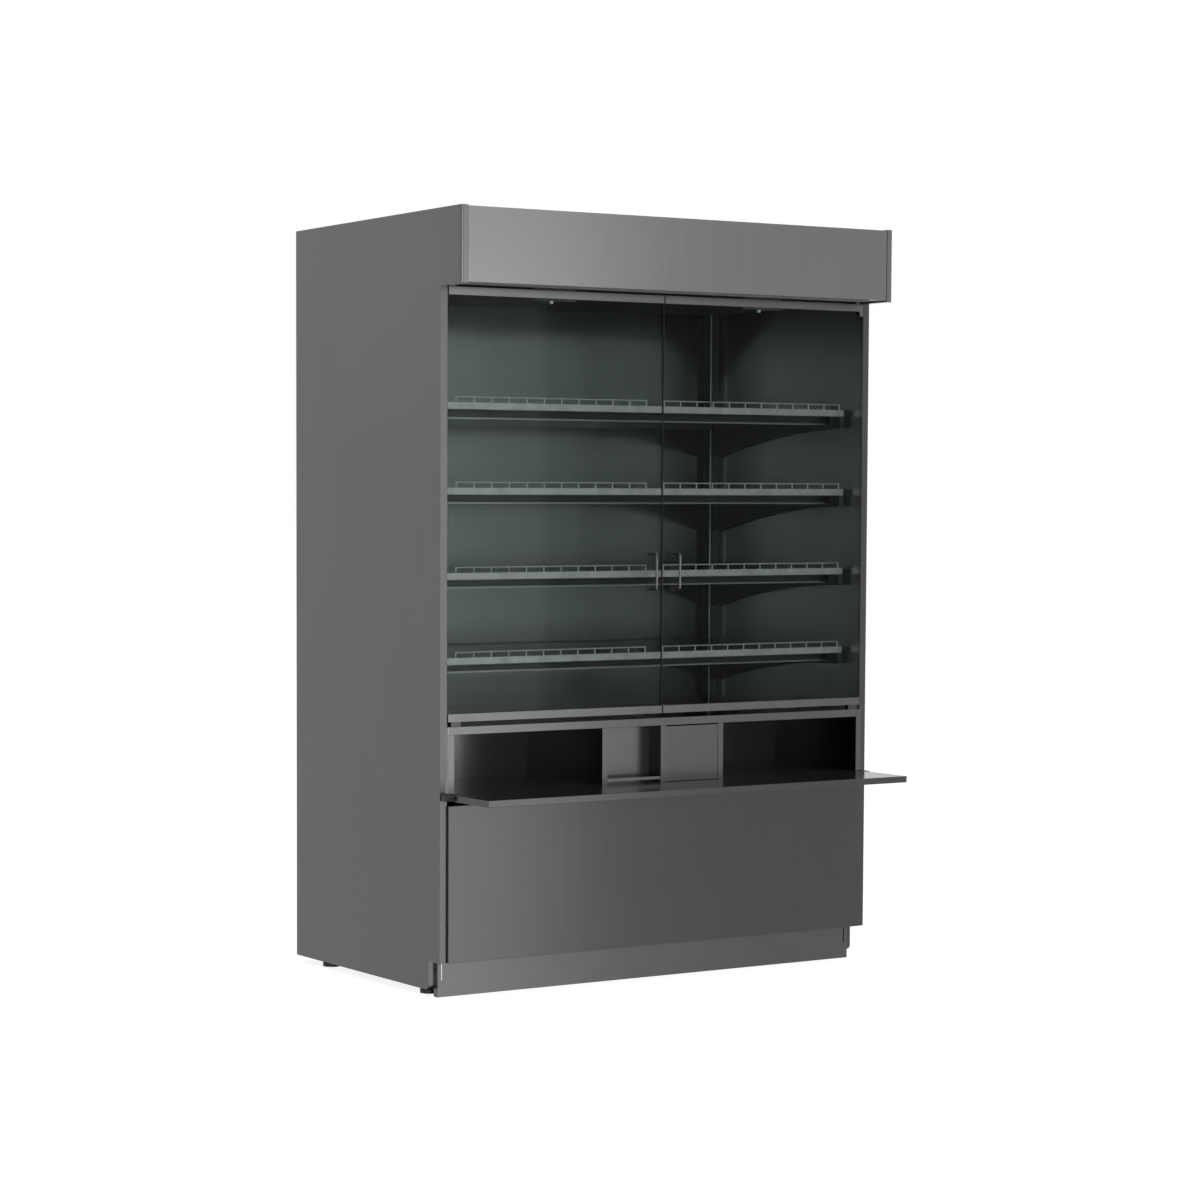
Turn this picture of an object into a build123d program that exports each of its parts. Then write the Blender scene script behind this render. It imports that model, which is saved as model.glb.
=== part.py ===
from build123d import *
import math
import os

os.makedirs("parts", exist_ok=True)

# Pastry display case. X runs to the right, Y to the back and Z up, in millimetres.
# The origin is on the floor, below the middle of the whole outline.

# Body
body_width = 1450
body_height = 2100
service_gap = 39
side_thick = 22
board_thick = 18
side_lift = 20
edge_ease = 1.0

# Canopy
canopy_reach = 102
fascia_height = 200
fascia_inset = 1
fascia_gap = 0.8
cheek_drop = 4
cheek_round = 10
crown_drop = 2.5
soffit_lift = 2

# Plinth
toe_height = 98
toe_depth = 57
toe_round = 14
kick_setback = 45
sheet_thick = 2
kick_flange = 18
kick_slot_width = 4
kick_slot_foot = 45
kick_slot_inset = 13.5
foot_diameter = 50
foot_pad = 10
foot_shaft = 30
foot_inset = 48
foot_front = 130
foot_back = 665

# Fronts below the doors
face_reach = 8
front_gap = 1
finger_gap = 14
ledge_height = 552
ledge_reach = 209
ledge_overhang = 1.5
frame_opening = 157.5
deck_thick = 21.5
niche_width = 179
niche_depth = 55
bay_depth = 373
niche_bar_height = 9
niche_bar_lift = 8
niche_bar_thick = 6
chute_margin = 8
chute_front = 38
chute_depth = 290

# Hinges of the ledge and of the waste flap
ledge_clear = 0.8
knuckle_length = 41
knuckle_inset = 3
knuckle_notch = 18.5
ledge_pin = 8
ledge_pin_reach = 20
flap_thick = 12
flap_side_gap = 1
flap_foot_gap = 0.6
flap_clear = 0.4
flap_pin = 5
flap_pin_reach = 6
pin_clear = 0.3

# Waste bin
bin_clear = 3
bin_wall = 3
bin_depth = 310
bin_head = 14

# Doors
meeting_gap = 4
door_side_gap = 2.7
door_lift = 12.7
door_head_gap = 5
door_proud = 2
glass_thick = 6
rail_thick = 16
rail_height = 21
rail_web = 9
top_lug_length = 12.5
top_lug_drop = 14
pivot_inset = 15
pivot_pin = 8
pivot_pin_reach = 10
pivot_block_inset = 9
pivot_block_length = 31
pivot_block_width = 16
pivot_socket = 22
moving_clear = 0.3
handle_spacing = 96
handle_lift = 392.3
handle_inset = 37.4
handle_reach = 29
handle_thick = 7
handle_bend = 7
handle_stud = 5
handle_washer = 13
washer_thick = 3
hole_clear = 0.5

# Door catches behind the top rails
catch_length = 135
catch_thick = 2.5
catch_setback = 18
catch_drop = 33
catch_foot = 17
catch_tab = 9
catch_tab_drop = 9
catch_knob = 8
catch_knob_gap = 0.7
catch_knob_offset = 15

# Display: back wall, uprights and shelves
display_depth = 716
lining_thick = 12
upright_width = 30
upright_depth = 33
upright_wall = 2
shelf_count = 4
shelf_pitch = 228
first_shelf_lift = 179
shelf_thick = 18.2
shelf_side_gap = 18
shelf_front = 60
shelf_back_gap = 2
strip_thick = 2
strip_lip = 1.5
wire_slot = 3
rail_setback = 47
shelf_rail_depth = 20
shelf_rail_height = 20.5
rail_lip_height = 4
rail_lip_reach = 3
bracket_thick = 3
bracket_flange = 15
bracket_sheet = 2
bracket_tip = 32
bracket_root = 112
hook_height = 12
hook_reach = 8
fence_wire = 3
fence_post = 2.6
fence_posts = 12
fence_pitch = 56.6
fence_rise = 16.5
fence_left_inset = 49
fence_right_inset = 15

# Planes that follow from these sizes
half_width = body_width / 2
body_depth = display_depth + lining_thick + service_gap + board_thick
inner_x = half_width - side_thick
front_y = (ledge_reach - body_depth) / 2
back_y = front_y + body_depth
face_y = front_y - face_reach
soffit_z = body_height - fascia_height
ceiling_z = soffit_z + soffit_lift
base_z = toe_height + board_thick
ledge_z = ledge_height - board_thick
deck_z = ledge_height + frame_opening
deck_top = deck_z + deck_thick
bay_back_y = face_y + bay_depth
lining_y = front_y + display_depth
upright_y = lining_y - upright_depth
divider_pitch = niche_width + board_thick
door_y = front_y - door_proud + rail_thick / 2
door_z = deck_top + door_lift
door_top = soffit_z - door_head_gap
handle_z = door_z + handle_lift
leaf_inner = meeting_gap / 2
leaf_outer = inner_x - door_side_gap
pivot_x = leaf_outer - pivot_inset
shelf_half = inner_x - shelf_side_gap
shelf_tops = [deck_top + first_shelf_lift + shelf_pitch * step for step in reversed(range(shelf_count))]
strip_y = front_y + shelf_front
shelf_y = strip_y + strip_thick + wire_slot
bracket_x = inner_x - upright_width / 2
hook_drops = (shelf_thick + bracket_sheet + hook_height, bracket_root)
sides = {"left": -1, "right": 1}


def save(piece, name):
    """Label the finished piece and write it to its own file."""
    piece.part.label = name
    export_step(piece.part, f"parts/{name}.step")


def block(x_span, y_span, z_span, mode=Mode.ADD):
    """A block between three pairs of planes, inside the part that is being built."""
    with BuildSketch(Plane.XY.offset(z_span[0])) as outline:
        with Locations((sum(x_span) / 2, sum(y_span) / 2)):
            Rectangle(abs(x_span[1] - x_span[0]), abs(y_span[1] - y_span[0]))
    extrude(outline.sketch, amount=z_span[1] - z_span[0], mode=mode)


def cross_rod(x_span, y, z, diameter, mode=Mode.ADD):
    """A round rod along X, inside the part that is being built."""
    low, high = sorted(x_span)
    with BuildSketch(Plane.YZ.offset(low)) as outline:
        with Locations((y, z)):
            Circle(diameter / 2)
    extrude(outline.sketch, amount=high - low, mode=mode)


def front_rod(y_span, x, z, diameter, mode=Mode.ADD):
    """A round rod along Y, inside the part that is being built."""
    with BuildSketch(Plane.XZ.offset(-y_span[1])) as outline:
        with Locations((x, z)):
            Circle(diameter / 2)
    extrude(outline.sketch, amount=y_span[1] - y_span[0], mode=mode)


def post(z_span, x, y, diameter, mode=Mode.ADD):
    """An upright round rod, inside the part that is being built."""
    with BuildSketch(Plane.XY.offset(z_span[0])) as outline:
        with Locations((x, y)):
            Circle(diameter / 2)
    extrude(outline.sketch, amount=z_span[1] - z_span[0], mode=mode)


def board(name, x_span, y_span, z_span, ease=0.0):
    """A plain rectangular board or sheet as a finished piece."""
    with BuildPart() as piece:
        block(x_span, y_span, z_span)
        if ease:
            fillet(piece.edges(), radius=ease)
    save(piece, name)


def side_panel(name, side):
    """Outer side with the canopy cheek at the top front and the toe notch at the bottom front."""
    cheek_y = front_y - canopy_reach
    cheek_z = soffit_z - cheek_drop
    toe_y = front_y + toe_depth
    outline = [
        (back_y, side_lift),
        (toe_y, side_lift),
        (toe_y, toe_height),
        (front_y, toe_height),
        (front_y, cheek_z),
        (cheek_y, cheek_z),
        (cheek_y, body_height),
        (back_y, body_height),
    ]
    with BuildPart() as panel:
        with BuildSketch(Plane.YZ.offset(min(side * inner_x, side * half_width))) as face:
            with BuildLine():
                Polyline(outline, close=True)
            make_face()
            toe = face.vertices().group_by(Axis.Y)[0].sort_by(Axis.X)[0]
            fillet(toe, radius=toe_round)
        extrude(amount=side_thick)
        outward = 0 if side < 0 else -1
        upright_edges = panel.faces().sort_by(Axis.X)[outward].edges().filter_by(Axis.Z)
        fillet(upright_edges.sort_by(Axis.Y)[0], radius=cheek_round)
        rim = panel.faces().sort_by(Axis.X)[outward].edges()
        fillet(rim.sort_by(Axis.Y)[1:], radius=edge_ease)
    save(panel, name)


def make_body():
    """Sides, roof, back, base, fascia and soffit."""
    for word, side in sides.items():
        side_panel(f"side_panel_{word}", side)
    across = (-inner_x, inner_x)
    fascia_y = front_y - canopy_reach + fascia_inset
    crown_z = body_height - crown_drop
    roof_z = crown_z - board_thick
    fascia_x = inner_x - fascia_gap
    board(
        "fascia_panel",
        (-fascia_x, fascia_x),
        (fascia_y, fascia_y + board_thick),
        (soffit_z, crown_z),
        edge_ease,
    )
    board("roof_panel", across, (fascia_y + board_thick, back_y), (roof_z, crown_z))
    board("outer_back", across, (back_y - board_thick, back_y), (side_lift, roof_z))
    board(
        "soffit_panel",
        across,
        (fascia_y + board_thick, lining_y + lining_thick),
        (ceiling_z, ceiling_z + board_thick),
    )
    board("display_back", across, (lining_y, lining_y + lining_thick), (deck_top, ceiling_z))
    board("display_deck", across, (face_y, lining_y + lining_thick), (deck_z, deck_top), edge_ease)
    board(
        "base_panel",
        across,
        (face_y + board_thick, back_y - board_thick),
        (toe_height, base_z),
    )
    front_x = inner_x - front_gap
    board(
        "lower_front_panel",
        (-front_x, front_x),
        (face_y, face_y + board_thick),
        (toe_height + front_gap, ledge_z - finger_gap),
        edge_ease,
    )


def make_kick_plate():
    """Folded sheet on the floor, with returned ends and a slot near each end that is open at the top."""
    sheet_y = front_y + kick_setback
    flange_x = inner_x - 2 * kick_slot_inset
    with BuildPart() as kick:
        block((-inner_x, inner_x), (sheet_y, sheet_y + sheet_thick), (0, toe_height))
        block(
            (-flange_x, flange_x),
            (sheet_y, sheet_y + sheet_thick + kick_flange),
            (toe_height - sheet_thick, toe_height),
        )
        for side in sides.values():
            block(
                (side * (inner_x - sheet_thick), side * inner_x),
                (sheet_y, sheet_y + sheet_thick + kick_flange),
                (0, toe_height),
            )
            slot_x = side * (inner_x - kick_slot_inset)
            block(
                (slot_x - kick_slot_width / 2, slot_x + kick_slot_width / 2),
                (sheet_y, sheet_y + sheet_thick),
                (kick_slot_foot, toe_height),
                mode=Mode.SUBTRACT,
            )
    save(kick, "kick_plate")


def make_feet():
    """Four levelling feet between the floor and the base panel."""
    with BuildPart() as feet:
        for side in sides.values():
            for setback in (foot_front, foot_back):
                x = side * (half_width - foot_inset)
                y = front_y + setback
                post((0, foot_pad), x, y, foot_diameter)
                post((foot_pad, toe_height - foot_pad), x, y, foot_shaft)
                post((toe_height - foot_pad, toe_height), x, y, foot_diameter)
    save(feet, "levelling_feet")


def make_compartments():
    """Floor, back, liners and dividers of the row below the deck, and the shallow niche in it."""
    across = (-inner_x, inner_x)
    opening = (ledge_height, deck_z)
    flap_x = (board_thick / 2, board_thick / 2 + niche_width)
    niche_x = (-divider_pitch + board_thick / 2, -board_thick / 2)
    niche_back_y = face_y + niche_depth
    with BuildPart() as floor:
        block(across, (face_y, bay_back_y + board_thick), (ledge_z, ledge_height))
        block(
            (flap_x[0] + chute_margin, flap_x[1] - chute_margin),
            (face_y + chute_front, face_y + chute_front + chute_depth),
            (ledge_z, ledge_height),
            mode=Mode.SUBTRACT,
        )
    save(floor, "compartment_floor")
    board("compartment_back", across, (bay_back_y, bay_back_y + board_thick), opening)
    for word, side in sides.items():
        liner = (side * (inner_x - board_thick), side * inner_x)
        board(f"liner_{word}", liner, (face_y, bay_back_y), opening)
    for number, place in enumerate((-divider_pitch, 0, divider_pitch), start=1):
        with BuildPart() as divider:
            block(
                (place - board_thick / 2, place + board_thick / 2),
                (face_y, bay_back_y),
                opening,
            )
            if place >= 0:
                face_x = place + (board_thick / 2 if place == 0 else -board_thick / 2)
                inward = -1 if place == 0 else 1
                cross_rod(
                    (face_x, face_x + inward * (flap_pin_reach + hole_clear)),
                    flap_axis_y,
                    flap_axis_z,
                    flap_pin + 2 * pin_clear,
                    mode=Mode.SUBTRACT,
                )
        save(divider, f"divider_{number}")
    board("niche_back", niche_x, (niche_back_y, niche_back_y + board_thick), opening)
    board(
        "niche_bar",
        niche_x,
        (face_y + edge_ease, face_y + edge_ease + niche_bar_thick),
        (ledge_height + niche_bar_lift, ledge_height + niche_bar_lift + niche_bar_height),
        edge_ease,
    )


def make_waste_flap():
    """Push-in flap on two stub pins near its upper edge."""
    left = board_thick / 2 + flap_side_gap
    right = board_thick / 2 + niche_width - flap_side_gap
    with BuildPart() as flap:
        block(
            (left, right),
            (face_y, face_y + flap_thick),
            (ledge_height + flap_foot_gap, flap_axis_z + flap_thick / 2),
        )
        fillet(flap.edges(), radius=edge_ease)
        cross_rod(
            (left - flap_side_gap - flap_pin_reach, right + flap_side_gap + flap_pin_reach),
            flap_axis_y,
            flap_axis_z,
            flap_pin,
        )
    save(flap, "waste_flap")


def make_waste_bin():
    """Open-topped bin on the base panel, below the chute."""
    left = board_thick / 2 + bin_clear
    right = board_thick / 2 + niche_width - bin_clear
    near = face_y + chute_front - chute_margin
    top = ledge_z - bin_head
    with BuildPart() as bin_body:
        block((left, right), (near, near + bin_depth), (base_z, top))
        block(
            (left + bin_wall, right - bin_wall),
            (near + bin_wall, near + bin_depth - bin_wall),
            (base_z + bin_wall, top),
            mode=Mode.SUBTRACT,
        )
    save(bin_body, "waste_bin")


def make_ledge():
    """Fold-up ledge with a notch at each rear corner, and the two fixed knuckles it turns on."""
    reach = board_thick / 2
    rear_y = ledge_axis_y + reach
    ledge_x = inner_x + ledge_overhang
    knuckle_end = half_width - knuckle_inset - knuckle_length
    notch_x = knuckle_end - pin_clear
    with BuildPart() as ledge:
        block(
            (-ledge_x, ledge_x),
            (front_y - ledge_reach, rear_y),
            (ledge_z, ledge_height),
        )
        fillet(ledge.edges(), radius=edge_ease)
        for side in sides.values():
            block(
                (side * notch_x, side * (ledge_x + board_thick)),
                (ledge_axis_y - knuckle_notch, rear_y + board_thick),
                (ledge_z, ledge_height),
                mode=Mode.SUBTRACT,
            )
            cross_rod(
                (side * (notch_x - ledge_pin_reach - hole_clear), side * notch_x),
                ledge_axis_y,
                ledge_axis_z,
                ledge_pin + 2 * pin_clear,
                mode=Mode.SUBTRACT,
            )
    save(ledge, "ledge")

    with BuildPart() as knuckles:
        for side in sides.values():
            outer = side * (half_width - knuckle_inset)
            cross_rod((side * knuckle_end, outer), ledge_axis_y, ledge_axis_z, board_thick)
            cross_rod(
                (side * (notch_x - ledge_pin_reach), side * knuckle_end),
                ledge_axis_y,
                ledge_axis_z,
                ledge_pin,
            )
            block(
                (side * (ledge_x + moving_clear), outer),
                (ledge_axis_y, front_y),
                (ledge_z, ledge_height),
            )
    save(knuckles, "ledge_knuckles")


def make_door(word, side):
    """One glass leaf: pane, rails with their pivot pins, and handle. The right leaf has a top lug."""
    pane_z = (door_z + rail_web, door_top - rail_web)
    pane_y = (door_y - glass_thick / 2, door_y + glass_thick / 2)
    leaf_x = (side * leaf_inner, side * leaf_outer)
    handle_x = side * (leaf_inner + handle_inset)
    stud_heights = [handle_z + end * handle_spacing / 2 for end in (-1, 1)]

    with BuildPart() as pane:
        block(leaf_x, pane_y, pane_z)
        for z in stud_heights:
            front_rod(pane_y, handle_x, z, handle_stud + 2 * hole_clear, mode=Mode.SUBTRACT)
    save(pane, f"door_{word}_glass")

    rail_y = (door_y - rail_thick / 2, door_y + rail_thick / 2)
    groove_y = (pane_y[0] - moving_clear, pane_y[1] + moving_clear)
    groove_x = (side * (leaf_inner - rail_web), side * (leaf_outer + rail_web))
    lug_x = (side * (leaf_outer - top_lug_length), side * leaf_outer)
    lug_z = door_top - rail_height - top_lug_drop
    with BuildPart() as rails:
        block(leaf_x, rail_y, (door_z, door_z + rail_height))
        block(leaf_x, rail_y, (door_top - rail_height, door_top))
        if word == "right":
            block(lug_x, rail_y, (lug_z, door_top - rail_height))
        block(groove_x, groove_y, (pane_z[0], pane_z[0] + rail_height), mode=Mode.SUBTRACT)
        block(groove_x, groove_y, (lug_z, pane_z[1]), mode=Mode.SUBTRACT)
        post((door_z - pivot_pin_reach, door_z), side * pivot_x, door_y, pivot_pin)
        post((door_top, ceiling_z - moving_clear), side * pivot_x, door_y, pivot_pin)
    save(rails, f"door_{word}_rails")

    bar_y = pane_y[0] - handle_reach
    bow = [
        (pane_y[0], stud_heights[0]),
        (bar_y, stud_heights[0]),
        (bar_y, stud_heights[1]),
        (pane_y[0], stud_heights[1]),
    ]
    with BuildPart() as handle:
        with BuildLine(Plane.YZ.offset(handle_x)):
            path = FilletPolyline(bow, radius=handle_bend)
        with BuildSketch(Plane(origin=path @ 0, z_dir=path % 0)):
            Circle(handle_thick / 2)
        sweep()
        for z in stud_heights:
            front_rod(pane_y, handle_x, z, handle_stud)
            front_rod((pane_y[1], pane_y[1] + washer_thick), handle_x, z, handle_washer)
    save(handle, f"door_{word}_handle")


def make_door_pivots():
    """Fixed blocks on the deck and sockets under the soffit that the door pins turn in."""
    block_z = (deck_top, door_z - moving_clear)
    socket_z = (door_top + moving_clear, ceiling_z)
    bore = pivot_pin + 2 * pin_clear
    with BuildPart() as pivots:
        for side in sides.values():
            block_end = leaf_outer - pivot_block_inset
            block(
                (side * (block_end - pivot_block_length), side * block_end),
                (door_y - pivot_block_width / 2, door_y + pivot_block_width / 2),
                block_z,
            )
            post(block_z, side * pivot_x, door_y, bore, mode=Mode.SUBTRACT)
            post(socket_z, side * pivot_x, door_y, pivot_socket)
            post(socket_z, side * pivot_x, door_y, bore, mode=Mode.SUBTRACT)
    save(pivots, "door_pivots")


def make_catches():
    """Two folded plates under the soffit, each with a tab whose round knob stops the glass."""
    near = front_y + catch_setback
    knob_y = door_y + glass_thick / 2 + catch_knob_gap
    leaf_middle = (leaf_inner + leaf_outer) / 2
    with BuildPart() as catches:
        for side in sides.values():
            x = side * leaf_middle
            half = catch_length / 2
            knob_x = x - catch_knob_offset
            foot_z = ceiling_z - catch_drop
            tab_z = foot_z - catch_tab_drop
            block((x - half, x + half), (near, near + catch_thick), (foot_z, ceiling_z))
            block(
                (x - half, x + half),
                (near, near + catch_foot),
                (ceiling_z - catch_thick, ceiling_z),
            )
            block(
                (knob_x - catch_tab / 2, knob_x + catch_tab / 2),
                (near, near + catch_thick),
                (tab_z, foot_z),
            )
            front_rod((knob_y, near), knob_x, tab_z + catch_tab / 2, catch_knob)
    save(catches, "door_catches")


def make_upright(word, side):
    """Square tube in a rear corner, with two slots for each bracket."""
    span = (side * (inner_x - upright_width), side * inner_x)
    hollow = (side * (inner_x - upright_width + upright_wall), side * (inner_x - upright_wall))
    slot_half = bracket_thick / 2 + pin_clear
    with BuildPart() as upright:
        block(span, (upright_y, lining_y), (deck_top, ceiling_z))
        block(
            hollow,
            (upright_y + upright_wall, lining_y - upright_wall),
            (deck_top, ceiling_z),
            mode=Mode.SUBTRACT,
        )
        for shelf_top in shelf_tops:
            for drop in hook_drops:
                hook_z = shelf_top - drop
                block(
                    (side * bracket_x - slot_half, side * bracket_x + slot_half),
                    (upright_y, upright_y + upright_wall),
                    (hook_z - pin_clear, hook_z + hook_height + pin_clear),
                    mode=Mode.SUBTRACT,
                )
    save(upright, f"upright_{word}")


def make_bracket(name, side, shelf_top):
    """Curved arm that hooks into the upright and carries the shelf on its upper flange."""
    seat_z = shelf_top - shelf_thick
    tip_z = seat_z - bracket_tip
    root_z = seat_z - bracket_root
    run = upright_y - shelf_y
    fall = tip_z - root_z
    radius = (run ** 2 + fall ** 2) / (2 * fall)
    turn = math.asin(run / radius) / 2
    waist = (shelf_y + radius * math.sin(turn), tip_z - radius * (1 - math.cos(turn)))
    inner_face = side * (bracket_x - bracket_thick / 2)
    with BuildPart() as bracket:
        with BuildSketch(Plane.YZ.offset(side * bracket_x - bracket_thick / 2)):
            with BuildLine():
                Polyline([(upright_y, root_z), (upright_y, seat_z), (shelf_y, seat_z), (shelf_y, tip_z)])
                ThreePointArc((shelf_y, tip_z), waist, (upright_y, root_z))
            make_face()
        extrude(amount=bracket_thick)
        block(
            (inner_face - side * (bracket_flange - bracket_thick), inner_face),
            (shelf_y, upright_y),
            (seat_z - bracket_sheet, seat_z),
        )
        block(
            (inner_face - side * (bracket_flange - bracket_thick), inner_face),
            (shelf_y, shelf_y + bracket_sheet),
            (tip_z, seat_z),
        )
        for drop in hook_drops:
            hook_z = shelf_top - drop
            block(
                (inner_face, inner_face + side * bracket_thick),
                (upright_y, upright_y + hook_reach),
                (hook_z, hook_z + hook_height),
            )
    save(bracket, name)


def make_price_strip(name, shelf_top):
    """Front strip with a low lip that meets the shelf and leaves a slot for the fence wires."""
    foot = shelf_top - shelf_thick
    across = (-shelf_half, shelf_half)
    with BuildPart() as strip:
        block(across, (strip_y, strip_y + strip_thick), (foot, shelf_top))
        block(across, (strip_y, shelf_y), (foot, foot + strip_lip))
    save(strip, name)


def make_shelf_rail(name, shelf_top):
    """Two stiffening rails under the shelf. The front one has a lip along its foot."""
    top = shelf_top - shelf_thick
    foot = top - shelf_rail_height
    lip_foot = foot - rail_lip_height
    rail_y = strip_y + rail_setback
    rear_y = upright_y - shelf_back_gap
    end_x = bracket_x + bracket_thick / 2 - bracket_flange - bracket_thick - moving_clear
    across = (-end_x, end_x)
    with BuildPart() as rails:
        block(across, (rail_y, rail_y + shelf_rail_depth), (foot, top))
        block(across, (rail_y - rail_lip_reach, rail_y + shelf_rail_depth), (lip_foot, foot))
        block(across, (rear_y - shelf_rail_depth, rear_y), (lip_foot, top))
    save(rails, name)


def make_fences(name, shelf_top):
    """Two low wire fences that stand in the slot behind the price strip."""
    run = fence_pitch * (fence_posts - 1)
    wire_y = strip_y + strip_thick + wire_slot / 2
    top_z = shelf_top + fence_rise - fence_wire / 2
    foot_z = shelf_top - shelf_thick + strip_lip
    starts = (-shelf_half + fence_left_inset, shelf_half - fence_right_inset - run)
    with BuildPart() as fences:
        for start in starts:
            with BuildSketch(Plane.XY.offset(foot_z)):
                for number in range(fence_posts):
                    with Locations((start + number * fence_pitch, wire_y)):
                        Circle(fence_post / 2)
            extrude(amount=top_z - foot_z)
            cross_rod(
                (start - fence_wire / 2, start + run + fence_wire / 2),
                wire_y,
                top_z,
                fence_wire,
            )
    save(fences, name)


def make_shelves():
    """Uprights, and for each shelf its board, strip, rail, fences and two brackets."""
    for word, side in sides.items():
        make_upright(word, side)
    for number, shelf_top in enumerate(shelf_tops, start=1):
        board(
            f"shelf_{number}",
            (-shelf_half, shelf_half),
            (shelf_y, upright_y - shelf_back_gap),
            (shelf_top - shelf_thick, shelf_top),
        )
        make_price_strip(f"price_strip_{number}", shelf_top)
        make_shelf_rail(f"shelf_rail_{number}", shelf_top)
        make_fences(f"wire_fence_{number}", shelf_top)
        for word, side in sides.items():
            make_bracket(f"bracket_{word}_{number}", side, shelf_top)


# Hinge lines. The corners of the ledge and of the flap sweep past their neighbours with clearance.
ledge_axis_y = face_y - board_thick / math.sqrt(2) - ledge_clear
ledge_axis_z = ledge_z + board_thick / 2
flap_axis_y = face_y + flap_thick / 2
flap_axis_z = deck_z - flap_thick / math.sqrt(2) - flap_clear

make_body()
make_kick_plate()
make_feet()
make_compartments()
make_waste_flap()
make_waste_bin()
make_ledge()
make_door("left", -1)
make_door("right", 1)
make_door_pivots()
make_catches()
make_shelves()
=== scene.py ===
# %% [markdown]
# # A pastry display case
# The case stands in a bakery: two glass doors over four shelves, a row of compartments with a ledge
# below them, and a plain front over a recessed kick plate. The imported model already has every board
# and fitting in its place, so this lesson gives each of them its finish, adds the small fittings that
# go over the solids, and lights the whole as a studio picture.

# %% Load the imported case
import math

import bmesh
import bpy
from mathutils import Matrix, Vector


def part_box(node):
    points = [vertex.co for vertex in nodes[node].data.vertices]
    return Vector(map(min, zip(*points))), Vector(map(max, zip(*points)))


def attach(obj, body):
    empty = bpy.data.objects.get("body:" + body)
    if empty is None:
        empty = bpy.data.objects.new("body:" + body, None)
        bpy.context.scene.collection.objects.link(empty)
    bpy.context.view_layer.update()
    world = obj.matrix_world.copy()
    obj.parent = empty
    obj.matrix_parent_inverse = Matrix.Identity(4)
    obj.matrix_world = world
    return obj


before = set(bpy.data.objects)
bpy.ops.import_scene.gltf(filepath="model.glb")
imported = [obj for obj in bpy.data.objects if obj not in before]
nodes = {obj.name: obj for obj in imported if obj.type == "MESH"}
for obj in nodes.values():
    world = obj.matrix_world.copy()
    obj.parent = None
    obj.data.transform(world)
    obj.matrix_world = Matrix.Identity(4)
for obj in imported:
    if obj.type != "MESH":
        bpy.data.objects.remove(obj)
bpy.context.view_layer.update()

# %% [markdown]
# ## The camera
# The picture is a long-lens view from the left front, with the eye at 1.3 m. The picture was cropped
# off the centre of its lens, and the two shift values put that crop back.

# %% Place the camera
FRAME_PIXELS = 1200
SENSOR_WIDTH = 36.0
LENS_PIXELS = 2935.3
LENS_CENTRE = (360.0, 684.0)
EYE = Vector((-4.8125, -6.8920, 1.3168))
YAW = math.radians(30.193)
PITCH = math.radians(3.467)

camera_data = bpy.data.cameras.new("camera")
camera_data.sensor_width = SENSOR_WIDTH
camera_data.lens = LENS_PIXELS * SENSOR_WIDTH / FRAME_PIXELS
camera_data.shift_x = (FRAME_PIXELS / 2 - LENS_CENTRE[0]) / FRAME_PIXELS
camera_data.shift_y = (LENS_CENTRE[1] - FRAME_PIXELS / 2) / FRAME_PIXELS
camera = bpy.data.objects.new("camera", camera_data)
camera.location = EYE
camera.rotation_euler = (math.pi / 2 - PITCH, 0.0, -YAW)
bpy.context.collection.objects.link(camera)
bpy.context.scene.camera = camera
bpy.context.scene.view_settings.view_transform = "Standard"
print("lens", round(camera_data.lens, 1), "mm, shift", camera_data.shift_x, camera_data.shift_y)

# %% [markdown]
# ## Sums on sockets
# A finish is mostly arithmetic on textures. Wrapping a socket in a small class lets that arithmetic
# be written as ordinary sums, and each sum adds its Math node. Every other node comes from one method.

# %% A socket that can be added and multiplied
TEXTURE_MIDDLE = 0.5


class Value:
    """An output socket that takes part in sums."""

    def __init__(self, graph, socket):
        self.graph = graph
        self.socket = socket

    def maths(self, operation, first, second):
        return self.graph.node("ShaderNodeMath", {"operation": operation}, {0: first, 1: second})

    def __add__(self, other):
        return self.maths("ADD", self, other)

    def __sub__(self, other):
        return self.maths("SUBTRACT", self, other)

    def __rsub__(self, other):
        return self.maths("SUBTRACT", other, self)

    def __mul__(self, other):
        return self.maths("MULTIPLY", self, other)

    def larger(self, other):
        return self.maths("MAXIMUM", self, other)

    def above(self, other):
        return self.maths("GREATER_THAN", self, other)

    def below(self, other):
        return self.maths("LESS_THAN", self, other)

    def swing(self, reach):
        """A texture moved to swing around nothing, over that reach from end to end."""
        return (self - TEXTURE_MIDDLE) * reach

    __radd__ = __add__
    __rmul__ = __mul__


print("a texture swings around", TEXTURE_MIDDLE)

# %% A node graph that builds itself from plain calls
WHITE = (1.0, 1.0, 1.0)
EVEN = (1.0, 1.0, 1.0)
FACING_COSINE = 0.6
MIX_INPUTS = (0, 6, 7)
MIX_RESULT = 2


def grey(level, tint=WHITE):
    return tuple(level * part for part in tint) + (1.0,)


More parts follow.
